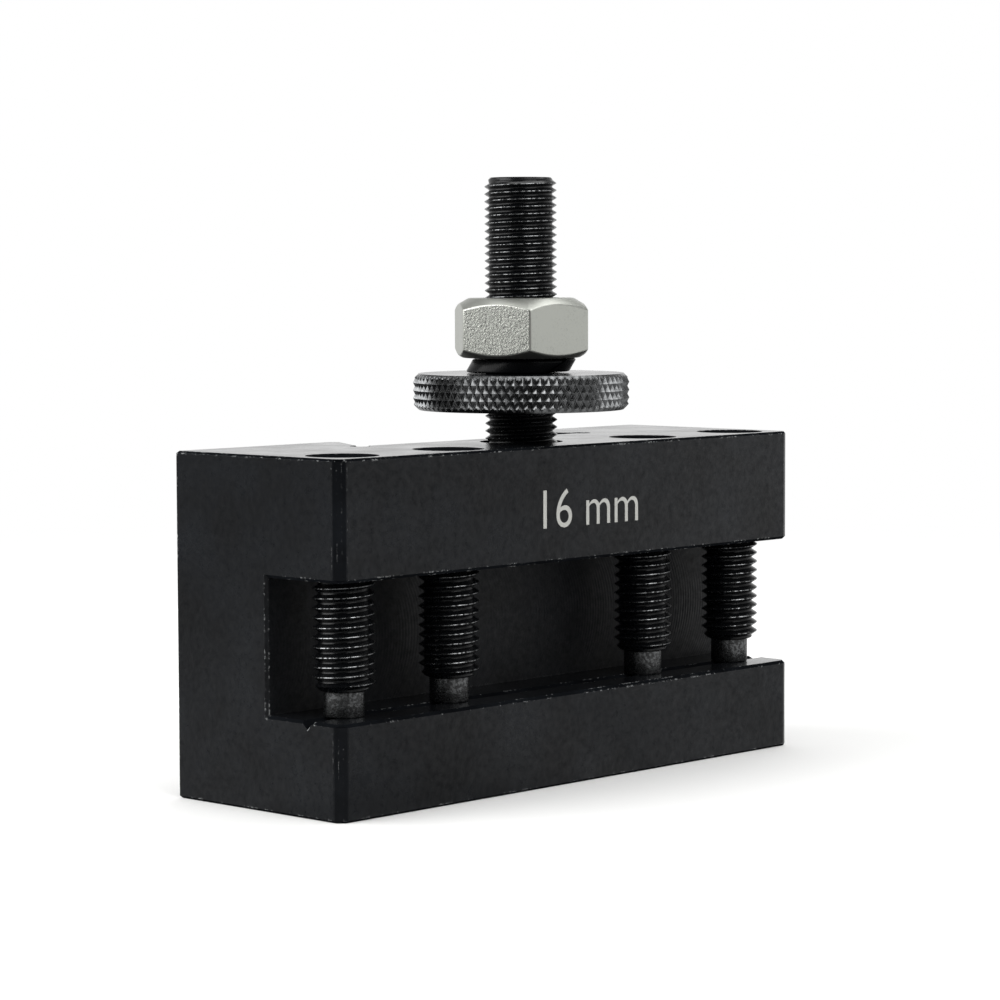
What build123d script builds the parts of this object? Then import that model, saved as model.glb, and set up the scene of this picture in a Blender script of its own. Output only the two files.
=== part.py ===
from build123d import *
from math import cos, pi, radians, sin, tan
import os

# Quick change tool holder for a lathe's tool post, in millimetres.
# X runs along the block, +Y points to the tool post and +Z up. The origin is the middle
# of the block's underside. The tool slot is open towards -Y, the dovetail towards +Y.

# Block
block_length = 90.0
block_depth = 30.4
block_height = 45.5
corner_chamfer = 1.0
edge_break = 0.3

# Tool slot, open at the front and at both ends
slot_floor_height = 12.4
slot_height = 17.6
slot_depth = 13.4
slot_edge_break = 0.4

# V groove along the slot floor, in which a round shank centres itself
groove_width = 2.3
groove_depth = 1.1

# Female dovetail in the back face
dovetail_depth = 10.6
dovetail_floor_width = 44.0
dovetail_angle = 60.0
dovetail_lip_flat = 1.2
dovetail_relief_radius = 1.1

# Clamp screws: set screws with a dog point, in holes tapped down into the slot
screw_diameter = 8.0
screw_length = 30.0
screw_setback = 6.0
screw_end_margin = 6.4
screw_spacing = 19.15
screw_end_chamfer = 0.9
dog_diameter = 5.2
dog_length = 3.0
dog_neck_length = 1.4
screw_socket_width = 4.0
screw_socket_depth = 5.0

# Height stud, screwed into a blind hole in the block's top
stud_diameter = 9.8
stud_setback = 11.0
stud_reach = 35.7
stud_set_depth = 12.0
stud_end_chamfer = 0.8

# Threads are drawn as plain cylinders with this clearance all round
thread_clearance = 0.05
hole_mouth_chamfer = 0.65
stud_mouth_chamfer = 0.7

# Knurled nut, which sets the holder's height on the tool post. Its diamond knurl is
# coarser than the real one, to keep its faces few.
knurled_diameter = 29.6
knurled_thickness = 4.9
knurled_height = 4.4
knurled_edge_chamfer = 0.25
knurl_count = 52
knurl_angle = 30.0
knurl_depth = 0.6
knurl_crest_drop = 0.1

# Split spring washer, nearly flattened between the two nuts
washer_outer_diameter = 14.2
washer_bore = 10.2
washer_thickness = 1.8
washer_rise = 0.2
washer_split_width = 0.9
washer_split_slant = 40.0
washer_split_turn = 266.0
seat_clearance = 0.05

# Lock nut. Its top is turned down further than its underside.
lock_nut_flats = 17.0
lock_nut_thickness = 8.1
lock_nut_face_diameter = 15.8
lock_nut_crown_diameter = 14.2
lock_nut_chamfer_angle = 30.0
lock_nut_turn = 50.2
nut_mouth_chamfer = 0.5

# Places that follow from the sizes above
front_y = -block_depth / 2
back_y = block_depth / 2
slot_back_y = front_y + slot_depth
slot_ceiling_height = slot_floor_height + slot_height
jaw_thickness = block_height - slot_ceiling_height
screw_y = front_y + screw_setback
outer_screw_x = block_length / 2 - screw_end_margin
inner_screw_x = outer_screw_x - screw_spacing
screw_spots = [(x, screw_y) for x in (-outer_screw_x, -inner_screw_x, inner_screw_x, outer_screw_x)]
dovetail_floor_y = back_y - dovetail_depth
stud_y = front_y + stud_setback
knurled_bottom = block_height + knurled_height
knurled_top = knurled_bottom + knurled_thickness
washer_bottom = knurled_top + seat_clearance
lock_nut_bottom = washer_bottom + washer_thickness + washer_rise + seat_clearance
screw_hole_radius = screw_diameter / 2 + thread_clearance
stud_hole_radius = stud_diameter / 2 + thread_clearance


def turned_about(x, y, z):
    """Upright plane through the axis of a turned piece that starts at height z."""
    return Plane(origin=(x, y, z), x_dir=(1, 0, 0), z_dir=(0, -1, 0))


def upright_axis(x, y):
    """Vertical axis of a turned piece."""
    return Axis((x, y, 0), (0, 0, 1))


# The block: its plan is drawn with the dovetail in it, raised to full height, then the
# slot, the V groove and the tapped holes are cut.
dovetail_floor_half = dovetail_floor_width / 2
flank_run = dovetail_depth / tan(radians(dovetail_angle))
lip_run = dovetail_lip_flat / tan(radians(dovetail_angle))
lip_half = dovetail_floor_half - flank_run + lip_run
lip_mouth_half = lip_half + dovetail_lip_flat

with BuildPart() as block:
    with BuildSketch(Plane.XY) as plan:
        Rectangle(block_length, block_depth)
        outline = plan.vertices()
        chamfer(outline.group_by(Axis.Y)[0], corner_chamfer)
        with BuildLine():
            Polyline(
                (-dovetail_floor_half, dovetail_floor_y),
                (dovetail_floor_half, dovetail_floor_y),
                (lip_half, back_y - dovetail_lip_flat),
                (lip_mouth_half, back_y),
                (-lip_mouth_half, back_y),
                (-lip_half, back_y - dovetail_lip_flat),
                close=True,
            )
        make_face(mode=Mode.SUBTRACT)
        with Locations(
            (-dovetail_floor_half, dovetail_floor_y),
            (dovetail_floor_half, dovetail_floor_y),
        ):
            Circle(dovetail_relief_radius, mode=Mode.SUBTRACT)
    extrude(amount=block_height)
    rims = block.faces().sort_by(Axis.Z)
    chamfer(rims[0].edges() + rims[-1].edges(), edge_break)

    # Tool slot, cut along the whole length
    slot_centre = (front_y, slot_floor_height + slot_height / 2)
    with BuildSketch(Plane.YZ):
        with Locations(slot_centre):
            Rectangle(2 * slot_depth, slot_height)
    extrude(amount=block_length, both=True, mode=Mode.SUBTRACT)
    slot_edges = block.edges(Select.LAST)
    slot_corners = slot_edges.filter_by(Axis.X).group_by(Axis.Y)[-1]
    chamfer(slot_edges - slot_corners, slot_edge_break)

    with BuildSketch(Plane.YZ):
        with BuildLine():
            Polyline(
                (screw_y - groove_width / 2, slot_floor_height),
                (screw_y, slot_floor_height - groove_depth),
                (screw_y + groove_width / 2, slot_floor_height),
                close=True,
            )
        make_face()
    extrude(amount=block_length, both=True, mode=Mode.SUBTRACT)

    # Tapped holes for the clamp screws and the stud
    with Locations(Plane.XY.offset(block_height)):
        with Locations(*screw_spots):
            CounterSinkHole(
                screw_hole_radius,
                screw_hole_radius + hole_mouth_chamfer,
                jaw_thickness,
                counter_sink_angle=90,
            )
        with Locations((0, stud_y)):
            CounterSinkHole(
                stud_hole_radius,
                stud_hole_radius + stud_mouth_chamfer,
                stud_set_depth,
                counter_sink_angle=90,
            )

block.part.label = "holder_body"


# The clamp screws stand on the slot floor. Each is turned about its own axis, with a
# hexagon socket in its top.
screw_radius = screw_diameter / 2
dog_radius = dog_diameter / 2
screws = []
for number, (screw_x, _) in enumerate(screw_spots, start=1):
    with BuildPart() as screw:
        with BuildSketch(turned_about(screw_x, screw_y, slot_floor_height)):
            with BuildLine():
                Polyline(
                    (0, 0),
                    (dog_radius, 0),
                    (dog_radius, dog_length),
                    (screw_radius, dog_length + dog_neck_length),
                    (screw_radius, screw_length - screw_end_chamfer),
                    (screw_radius - screw_end_chamfer, screw_length),
                    (0, screw_length),
                    close=True,
                )
            make_face()
        revolve(axis=upright_axis(screw_x, screw_y))
        screw_top = Plane((screw_x, screw_y, slot_floor_height + screw_length))
        with BuildSketch(screw_top):
            RegularPolygon(screw_socket_width / 2, 6, major_radius=False)
        extrude(amount=-screw_socket_depth, mode=Mode.SUBTRACT)
    screw.part.label = f"clamp_screw_{number}"
    screws.append(screw)


# The stud stands on the bottom of its hole
stud_radius = stud_diameter / 2
stud_length = stud_set_depth + stud_reach

with BuildPart() as stud:
    with BuildSketch(turned_about(0, stud_y, block_height - stud_set_depth)):
        with BuildLine():
            Polyline(
                (0, 0),
                (stud_radius - stud_end_chamfer, 0),
                (stud_radius, stud_end_chamfer),
                (stud_radius, stud_length - stud_end_chamfer),
                (stud_radius - stud_end_chamfer, stud_length),
                (0, stud_length),
                close=True,
            )
        make_face()
    revolve(axis=upright_axis(0, stud_y))

stud.part.label = "height_stud"


# Knurled nut: a thin disk, tapped for the stud. The V grooves of its knurl lean to both
# sides, and are wide enough for their flanks to meet just below the rim.
knurled_radius = knurled_diameter / 2
knurl_pitch = pi * knurled_diameter / knurl_count * cos(radians(knurl_angle))
flank_slope = knurl_pitch / 2 / (knurl_depth - knurl_crest_drop)
knurl_mouth_half = flank_slope * 2 * knurl_depth

with BuildPart() as knurl_groove:
    with BuildSketch(Plane.XY):
        with BuildLine():
            Polyline(
                (-knurl_depth, 0),
                (knurl_depth, knurl_mouth_half),
                (knurl_depth, -knurl_mouth_half),
                close=True,
            )
        make_face()
    extrude(amount=knurled_thickness, both=True)

with BuildPart() as knurled:
    with BuildSketch(turned_about(0, stud_y, knurled_bottom)):
        with BuildLine():
            Polyline(
                (stud_hole_radius + nut_mouth_chamfer, 0),
                (knurled_radius - knurled_edge_chamfer, 0),
                (knurled_radius, knurled_edge_chamfer),
                (knurled_radius, knurled_thickness - knurled_edge_chamfer),
                (knurled_radius - knurled_edge_chamfer, knurled_thickness),
                (stud_hole_radius + nut_mouth_chamfer, knurled_thickness),
                (stud_hole_radius, knurled_thickness - nut_mouth_chamfer),
                (stud_hole_radius, nut_mouth_chamfer),
                close=True,
            )
        make_face()
    revolve(axis=upright_axis(0, stud_y))
    with Locations((0, stud_y, knurled_bottom + knurled_thickness / 2)):
        with PolarLocations(knurled_radius, knurl_count):
            for lean in (-knurl_angle, knurl_angle):
                add(knurl_groove.part, rotation=(lean, 0, 0), mode=Mode.SUBTRACT)

knurled.part.label = "knurled_nut"


# Spring washer: one left-hand turn of square wire with slanted ends
washer_radius = (washer_outer_diameter + washer_bore) / 4
washer_width = (washer_outer_diameter - washer_bore) / 2
coil_gap = 360 * washer_split_width / (2 * pi * washer_radius)
coil_pitch = washer_rise * 360 / (360 - coil_gap)
coil_start = (0, stud_y, washer_bottom + washer_thickness / 2)
start_turn = washer_split_turn - coil_gap / 2
start_out = Vector(cos(radians(start_turn)), sin(radians(start_turn)), 0)
slant = radians(washer_split_slant)

with BuildPart() as washer:
    coil = Helix(coil_pitch, washer_rise, washer_radius, lefthand=True, mode=Mode.PRIVATE)
    coil = Pos(*coil_start) * Rot(0, 0, start_turn) * coil
    along = (coil % 0).rotate(Axis((0, 0, 0), start_out), -washer_split_slant)
    with BuildSketch(Plane(coil @ 0, x_dir=start_out, z_dir=along)):
        Rectangle(washer_width, washer_thickness / cos(slant))
    sweep(path=coil, is_frenet=True)

washer.part.label = "lock_washer"


# Lock nut: a hexagon whose two ends are turned to a cone
nut_flat_radius = lock_nut_flats / 2
nut_corner_radius = nut_flat_radius / cos(radians(30))
nut_face_radius = lock_nut_face_diameter / 2
nut_crown_radius = lock_nut_crown_diameter / 2
nut_cone_slope = tan(radians(lock_nut_chamfer_angle))
nut_face_cone = (nut_corner_radius - nut_face_radius) * nut_cone_slope
nut_crown_cone = (nut_corner_radius - nut_crown_radius) * nut_cone_slope

with BuildPart() as lock:
    with BuildSketch(Plane((0, stud_y, lock_nut_bottom))):
        RegularPolygon(nut_flat_radius, 6, major_radius=False, rotation=lock_nut_turn)
    extrude(amount=lock_nut_thickness)
    with BuildSketch(turned_about(0, stud_y, lock_nut_bottom)):
        with BuildLine():
            Polyline(
                (stud_hole_radius + nut_mouth_chamfer, 0),
                (nut_face_radius, 0),
                (nut_corner_radius, nut_face_cone),
                (nut_corner_radius, lock_nut_thickness - nut_crown_cone),
                (nut_crown_radius, lock_nut_thickness),
                (stud_hole_radius + nut_mouth_chamfer, lock_nut_thickness),
                (stud_hole_radius, lock_nut_thickness - nut_mouth_chamfer),
                (stud_hole_radius, nut_mouth_chamfer),
                close=True,
            )
        make_face()
    revolve(axis=upright_axis(0, stud_y), mode=Mode.INTERSECT)

lock.part.label = "lock_nut"


os.makedirs("parts", exist_ok=True)
for piece in (block, stud, knurled, washer, lock, *screws):
    export_step(piece.part, f"parts/{piece.part.label}.step")
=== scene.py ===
import math
from functools import partial

import bpy
from mathutils import Matrix, Vector


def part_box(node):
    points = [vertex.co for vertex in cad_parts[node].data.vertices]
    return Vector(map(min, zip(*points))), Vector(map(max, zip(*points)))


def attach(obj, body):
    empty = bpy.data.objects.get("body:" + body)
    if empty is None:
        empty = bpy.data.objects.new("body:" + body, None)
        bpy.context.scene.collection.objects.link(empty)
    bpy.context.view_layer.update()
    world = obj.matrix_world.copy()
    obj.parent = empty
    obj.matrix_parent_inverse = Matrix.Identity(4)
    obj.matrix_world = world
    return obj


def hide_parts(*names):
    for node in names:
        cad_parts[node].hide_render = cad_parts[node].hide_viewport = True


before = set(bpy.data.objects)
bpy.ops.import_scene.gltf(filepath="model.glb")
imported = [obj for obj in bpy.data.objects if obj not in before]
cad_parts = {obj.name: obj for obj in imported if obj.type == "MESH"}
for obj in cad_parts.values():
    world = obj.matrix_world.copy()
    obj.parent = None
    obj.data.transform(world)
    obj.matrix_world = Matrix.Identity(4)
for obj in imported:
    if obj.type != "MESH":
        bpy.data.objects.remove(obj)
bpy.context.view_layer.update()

# Quick change tool holder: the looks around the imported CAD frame.
# The block stays the CAD's own. Everything that is threaded, knurled or sprung is made here.
# Sizes in the dictionaries are in millimetres where no note says otherwise.

mm = 0.001
fullTurn = 2 * math.pi
sixth = fullTurn / 6
nearly = 0.01  # how far off a face's direction may be


# Small tools


def toLinear(hexColour):
    channels = [int(hexColour[i : i + 2], 16) / 255 for i in (1, 3, 5)]
    return [c / 12.92 if c <= 0.04045 else ((c + 0.055) / 1.055) ** 2.4 for c in channels] + [1.0]


# Adds a node with its settings, and links or sets its inputs. A node given as an input
# stands for its first output. Each tree has this bound to it, under the name add.
def addNode(tree, kind, inputs=None, **settings):
    node = tree.nodes.new(kind)
    for name, value in settings.items():
        setattr(node, name, value)
    for key, value in (inputs or {}).items():
        if isinstance(value, bpy.types.Node):
            value = value.outputs[0]
        if isinstance(value, bpy.types.NodeSocket):
            tree.links.new(value, node.inputs[key])
        else:
            node.inputs[key].default_value = value
    return node


def newTree(name, sockets):
    tree = bpy.data.node_groups.new(name, "GeometryNodeTree")
    tree.interface.new_socket("Geometry", in_out="INPUT", socket_type="NodeSocketGeometry")
    for label, kind in sockets.items():
        tree.interface.new_socket(label, in_out="INPUT", socket_type="NodeSocket" + kind)
    tree.interface.new_socket("Geometry", in_out="OUTPUT", socket_type="NodeSocketGeometry")
    add = partial(addNode, tree)
    return tree, add, add("NodeGroupInput").outputs


def addTree(piece, tree, values):
    modifier = piece.modifiers.new(tree.name, "NODES")
    modifier.node_group = tree
    for socket in tree.interface.items_tree:
        if socket.in_out == "INPUT" and socket.name in values:
            modifier[socket.identifier] = values[socket.name]


def newPiece(name, mesh):
    piece = bpy.data.objects.new(name, mesh)
    bpy.context.scene.collection.objects.link(piece)
    return piece


# Turns a piece with its modifiers into a plain mesh, smooth but for its sharp edges
def makePlain(piece, sharpAngle=28):
    depsgraph = bpy.context.evaluated_depsgraph_get()
    mesh = bpy.data.meshes.new_from_object(piece.evaluated_get(depsgraph))
    piece.modifiers.clear()
    piece.data = mesh
    mesh.shade_smooth()
    mesh.set_sharp_from_angle(angle=math.radians(sharpAngle))
    print(f"  {piece.name}: {sum(len(p.vertices) - 2 for p in mesh.polygons)} triangles")


# Gives another material to the faces that a test picks
def paint(piece, material, isHere):
    piece.data.materials.append(material)
    for face in piece.data.polygons:
        if isHere(face):
            face.material_index = len(piece.data.materials) - 1


# One ring of points about an upright axis. Radius and height may vary with the angle.
def ring(axis, count, radius, height, turned=0.0):
    points = []
    for step in range(count):
        angle = turned + fullTurn * step / count
        r = radius(angle) if callable(radius) else radius
        z = height(angle) if callable(height) else height
        points.append((axis.x + r * math.cos(angle), axis.y + r * math.sin(angle), z))
    return points


# A mesh of open or closed shells. Each shell is a stack of rings, drawn outwards at its
# bottom and inwards at its top. A ring of one point is a pole, and a ring may have a whole
# number of times its neighbour's points.
def stackRings(name, *shells):
    points, faces = [], []
    for shell in shells:
        firsts = []
        for ringPoints in shell:
            firsts.append(len(points))
            points.extend(ringPoints)
        for below, above in zip(range(len(shell) - 1), range(1, len(shell))):
            counts = len(shell[below]), len(shell[above])
            sectors = max(counts) if 1 in counts else min(counts)
            for sector in range(sectors):
                sides = []
                for first, count in zip((firsts[below], firsts[above]), counts):
                    each = max(1, count // sectors)
                    steps = range(sector * each, (sector + 1) * each + 1)
                    sides.append([first] if count == 1 else [first + s % count for s in steps])
                faces.append(sides[0] + sides[1][::-1])
    mesh = bpy.data.meshes.new(name)
    mesh.from_pydata(points, [], faces)
    mesh.validate()
    return newPiece(name, mesh)


def axisOf(node):
    low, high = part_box(node)
    return Vector(((low.x + high.x) / 2, (low.y + high.y) / 2, 0))


# Materials. Patterns are in millimetres of the object's own space.


def newMaterial(name):
    material = bpy.data.materials.new(name)
    material.use_nodes = True
    tree = material.node_tree
    tree.nodes.clear()
    add = partial(addNode, tree)
    spot = add("ShaderNodeTexCoord").outputs["Object"]
    return material, add, add("ShaderNodeMapping", {"Vector": spot, "Scale": [1 / mm] * 3})


# The inputs of a Map Range node for a span of values and for what they become
def span(values, results=(0.0, 1.0)):
    return {1: values[0], 2: values[1], 3: results[0], 4: results[1]}


# The end of a material: the shader with its values, over a relief of the given height
def addSurface(add, values, relief, height, **below):
    bump = add("ShaderNodeBump", {"Strength": 1.0, "Distance": height, "Height": relief, **below})
    shader = add("ShaderNodeBsdfPrincipled", {**values, "Normal": bump})
    add("ShaderNodeOutputMaterial", {"Surface": shader})
    return shader


# Steel milled and ground flat, then blackened in a hot salt bath and oiled: a near-black
# skin with a soft grey sheen, cloudy where the oil is thicker, bright where edges are nicked.
# A pair named Where is the span, of a noise, a place or an angle, over which its effect sets in.
oxideBlock = {
    "dark": "#0b0c0e",
    "pale": "#15171a",
    "bare": "#b4b6b6",
    "cloudSize": 9.0,  # mm
    "paleWhere": (0.35, 0.7),
    "smoothWhere": (0.3, 0.7),
    "grainSize": 0.35,  # mm, coarser than the real grit so that it shows
    "grainRoughness": 0.06,
    "roughness": (0.21, 0.14),
    "specular": 0.2,
    "mottleSize": 1.0,  # mm
    "mottleWhere": (0.3, 0.7),
    "mottle": (0.4, 1.6),  # how far the oil film's sheen varies
    "coarseRoughness": 0.5,  # in the slot and on filed edges
    "filedSlope": (0.707, 0.1),  # the upward part of a filed edge's normal, and its tolerance
    "filedSpecular": 0.0,
    "edgeRadius": 0.06,  # mm
    "cornerWhere": (58.88, 58.92),  # mm along x and out of the front together
    "cornerSlope": 0.7071,
    "cornerSheen": 0.4,
    "nickReach": 0.34,  # mm from an edge
    "nickBend": (0.985, 0.9),  # cosine of the bend towards the edge
    "nickSize": 0.55,  # mm
    "nickWhere": (0.875, 0.925),
    "knockSize": 5.0,  # mm, between places that were knocked
    "knockWeight": 0.6,
    "exposedWhere": (0.8, 0.95),
    "nickRoughness": 0.45,
    "nickMetal": 0.5,  # torn metal: partly a scatter of tiny facets
    "endArcCentre": (0, 26, -2),  # mm, the middle of the face mill's sweep on the ends
    "endArcSpacing": 0.8,  # mm
    "endArcHeight": 0.6,  # in grains, as is the next one
    "slotArcHeight": 3.0,
    "slotArcMiddle": 21.0,  # mm up, where the end mill's sweep on the slot's back is widest
    "slotArcRadius": 13.0,  # mm
    "slotArcSpacing": 0.55,  # mm
    "slotFrom": (-14.0, -13.0),  # mm along y, just behind the front
    "marksWhere": (0.42, 0.66),
    "reliefHeight": 0.006,  # mm
}


def blackOxideMilled():
    look = oxideBlock
    material, add, spot = newMaterial("black_oxide_milled_steel")
    cloud = add(
        "ShaderNodeTexNoise",
        {"Vector": spot, "Scale": 1 / look["cloudSize"], "Detail": 5.0, "Roughness": 0.55},
    )
    grain = add(
        "ShaderNodeTexNoise", {"Vector": spot, "Scale": 1 / look["grainSize"], "Detail": 2.0}
    )
    surface = add("ShaderNodeNewGeometry")
    trueNormal = surface.outputs["True Normal"]
    facing = add("ShaderNodeSeparateXYZ", {0: trueNormal})
    place = add("ShaderNodeSeparateXYZ", {0: spot})
    x, y, z = place.outputs

    # Sweeps of the cutters: circles on the ends, one arc for each step of feed in the slot
    endCentre = add(
        "ShaderNodeVectorMath", {0: spot, 1: look["endArcCentre"]}, operation="SUBTRACT"
    )
    flat = add("ShaderNodeVectorMath", {0: endCentre, 1: (0, 1, 1)}, operation="MULTIPLY")
    reach = add("ShaderNodeVectorMath", {0: flat}, operation="LENGTH").outputs["Value"]
    up = add("ShaderNodeMath", {0: z, 1: look["slotArcMiddle"]}, operation="SUBTRACT")
    upSquared = add("ShaderNodeMath", {0: up, 1: up}, operation="MULTIPLY")
    under = add(
        "ShaderNodeMath", {0: look["slotArcRadius"] ** 2, 1: upSquared}, operation="SUBTRACT"
    )
    bow = add("ShaderNodeMath", {0: under, 1: 0.5}, operation="POWER")
    feed = add("ShaderNodeMath", {0: x, 1: bow}, operation="SUBTRACT")
    waves = []
    for along, spacing in ((reach, look["endArcSpacing"]), (feed, look["slotArcSpacing"])):
        phase = add("ShaderNodeMath", {0: along, 1: fullTurn / spacing}, operation="MULTIPLY")
        waves.append(add("ShaderNodeMath", {0: phase}, operation="SINE"))
    onEnd, onBack, upward = (
        add("ShaderNodeMath", {0: part}, operation="ABSOLUTE") for part in facing.outputs
    )
    inward = add("ShaderNodeMapRange", {0: y, **span(look["slotFrom"])})
    inSlot = add("ShaderNodeMath", {0: onBack, 1: inward}, operation="MULTIPLY")
    slope, tolerance = look["filedSlope"]
    filed = add("ShaderNodeMath", {0: upward, 1: slope, 2: tolerance}, operation="COMPARE")
    coarse = add("ShaderNodeMath", {0: inSlot, 1: filed}, operation="MAXIMUM")
    endPart = add("ShaderNodeMath", {0: waves[0], 1: onEnd}, operation="MULTIPLY")
    endPart = add("ShaderNodeMath", {0: endPart, 1: look["endArcHeight"]}, operation="MULTIPLY")
    slotPart = add("ShaderNodeMath", {0: waves[1], 1: inSlot}, operation="MULTIPLY")
    marks = add(
        "ShaderNodeMath",
        {0: slotPart, 1: look["slotArcHeight"], 2: endPart},
        operation="MULTIPLY_ADD",
    )
    patches = add("ShaderNodeMapRange", {0: cloud, **span(look["marksWhere"])})

    # The front corners are filed flat right up to their edges, and hold less oil
    softEdge = add("ShaderNodeBevel", {"Radius": look["edgeRadius"] * mm}, samples=6)
    side = add("ShaderNodeMath", {0: x}, operation="SIGN")
    outer = add("ShaderNodeMath", {0: x, 1: side}, operation="MULTIPLY")
    outer = add("ShaderNodeMath", {0: outer, 1: y}, operation="SUBTRACT")
    atCorner = add("ShaderNodeMapRange", {0: outer, **span(look["cornerWhere"])})
    slope = look["cornerSlope"]
    sideways = add("ShaderNodeMath", {0: side, 1: slope}, operation="MULTIPLY")
    cornerWay = add("ShaderNodeCombineXYZ", {0: sideways, 1: -slope, 2: 0.0})
    facet = add(
        "ShaderNodeMix", {0: atCorner, 4: softEdge, 5: cornerWay}, data_type="VECTOR"
    ).outputs[1]

    # Nicks: on edges, where the rounded normal leaves the true one, broken up by two noises,
    # and never in inner corners
    rounded = add("ShaderNodeBevel", {"Radius": look["nickReach"] * mm}, samples=6)
    bend = add(
        "ShaderNodeVectorMath", {0: rounded, 1: trueNormal}, operation="DOT_PRODUCT"
    ).outputs["Value"]
    nearEdge = add("ShaderNodeMapRange", {0: bend, **span(look["nickBend"])})
    chips = add(
        "ShaderNodeTexNoise",
        {"Vector": spot, "Scale": 1 / look["nickSize"], "Detail": 4.0, "Roughness": 0.7},
    )
    knocks = add("ShaderNodeTexNoise", {"Vector": spot, "Scale": 1 / look["knockSize"]})
    chips = add(
        "ShaderNodeMath", {0: knocks, 1: look["knockWeight"], 2: chips}, operation="MULTIPLY_ADD"
    )
    chipped = add("ShaderNodeMapRange", {0: chips, **span(look["nickWhere"])})
    exposed = add(
        "ShaderNodeAmbientOcclusion", {"Distance": look["nickReach"] * mm}, samples=6
    ).outputs["AO"]
    outward = add("ShaderNodeMapRange", {0: exposed, **span(look["exposedWhere"])})
    nicks = add("ShaderNodeMath", {0: nearEdge, 1: chipped}, operation="MULTIPLY")
    nicks = add("ShaderNodeMath", {0: nicks, 1: outward}, operation="MULTIPLY")
    metal = add("ShaderNodeMath", {0: nicks, 1: look["nickMetal"]}, operation="MULTIPLY")

    shade = add("ShaderNodeMapRange", {0: cloud, **span(look["paleWhere"])})
    skin = add(
        "ShaderNodeMix",
        {0: shade, 6: toLinear(look["dark"]), 7: toLinear(look["pale"])},
        data_type="RGBA",
    ).outputs[2]
    colour = add(
        "ShaderNodeMix",
        {0: nicks, 6: skin, 7: toLinear(look["bare"])},
        data_type="RGBA",
    ).outputs[2]
    rough = add("ShaderNodeMapRange", {0: cloud, **span(look["smoothWhere"], look["roughness"])})
    rough = add(
        "ShaderNodeMath", {0: grain, 1: look["grainRoughness"], 2: rough}, operation="MULTIPLY_ADD"
    )
    rough = add("ShaderNodeMapRange", {0: coarse, 3: rough, 4: look["coarseRoughness"]})
    rough = add("ShaderNodeMapRange", {0: nicks, 3: rough, 4: look["nickRoughness"]})
    shine = add("ShaderNodeMapRange", {0: filed, 3: look["specular"], 4: look["filedSpecular"]})
    film = add(
        "ShaderNodeTexNoise",
        {"Vector": spot, "Scale": 1 / look["mottleSize"], "Detail": 8.0, "Roughness": 0.8},
    )
    mottle = add("ShaderNodeMapRange", {0: film, **span(look["mottleWhere"], look["mottle"])})
    oiled = add("ShaderNodeMapRange", {0: atCorner, 3: 1.0, 4: look["cornerSheen"]})
    for share in (mottle, oiled):
        shine = add("ShaderNodeMath", {0: shine, 1: share}, operation="MULTIPLY")
    relief = add("ShaderNodeMath", {0: marks, 1: patches, 2: grain}, operation="MULTIPLY_ADD")
    values = {
        "Base Color": colour,
        "Metallic": metal,
        "Roughness": rough,
        "Specular IOR Level": shine,
    }
    shader = addSurface(add, values, relief, look["reliefHeight"] * mm, Normal=facet)
    # for the export
    shader.inputs["Specular IOR Level"].default_value = look["specular"]  # the same value also stands on the socket, under its link
    return material


# Alloy steel, blackened: darker and glossier than the block. Rolled threads and knurls have
# crests burnished to a dull grey by handling. Turned dog points are worn all over, with a
# grainy, pitted skin. Spring steel and the threads tapped in the block keep a dull black.
oxideFastener = {
    "dark": "#07080a",
    "rubbed": "#b9bbbc",
    "patchSize": 0.45,  # mm
    "patchyWhere": (0.42, 0.58),
    "grainSize": 0.2,  # mm
    "roughWhere": (0.3, 0.7),
    "roughness": (0.2, 0.34),
    "metalWhere": (0.0, 0.15),  # a little wear already shines like metal
}

# How near to a crest the wear sets in, how strong it gets and how much of it isn't patchy,
# how high the grain stands in mm, and the sheen of the oxide
fastenerFinishes = {
    "rolled": {"wearFrom": 0.9, "wear": 0.9, "whole": 0.0, "grain": 0.006, "specular": 0.3},
    "knurled": {"wearFrom": -1.0, "wear": 0.55, "whole": 0.6, "grain": 0.004, "specular": 0.4},
    "turned": {"wearFrom": -8.0, "wear": 0.38, "whole": 0.03, "grain": 0.05, "specular": 0.6},
    "spring": {"wearFrom": 1.0, "wear": 0.0, "whole": 0.0, "grain": 0.01, "specular": 0.1},
    "tapped": {"wearFrom": 1.0, "wear": 0.0, "whole": 0.0, "grain": 0.01, "specular": 0.03},
}


def blackOxideFastener(kind):
    look = oxideFastener
    finish = fastenerFinishes[kind]
    material, add, spot = newMaterial(f"black_oxide_{kind}_steel")
    grain, blotch = (
        add("ShaderNodeTexNoise", {"Vector": spot, "Scale": 1 / look[size], "Detail": 3.0})
        for size in ("grainSize", "patchSize")
    )
    crest = add("ShaderNodeAttribute", attribute_name="crest").outputs["Fac"]
    high = add(
        "ShaderNodeMapRange", {0: crest, **span((finish["wearFrom"], 1.0), (0.0, finish["wear"]))}
    )
    patchy = add(
        "ShaderNodeMapRange", {0: blotch, **span(look["patchyWhere"], (finish["whole"], 1.0))}
    )
    rubbed = add("ShaderNodeMath", {0: high, 1: patchy}, operation="MULTIPLY")
    colour = add(
        "ShaderNodeMix",
        {0: rubbed, 6: toLinear(look["dark"]), 7: toLinear(look["rubbed"])},
        data_type="RGBA",
    ).outputs[2]
    metal = add("ShaderNodeMapRange", {0: rubbed, **span(look["metalWhere"])})
    rough = add("ShaderNodeMapRange", {0: grain, **span(look["roughWhere"], look["roughness"])})
    values = {
        "Base Color": colour,
        "Metallic": metal,
        "Roughness": rough,
        "Specular IOR Level": finish["specular"],
    }
    addSurface(add, values, grain, finish["grain"] * mm)
    return material


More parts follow.
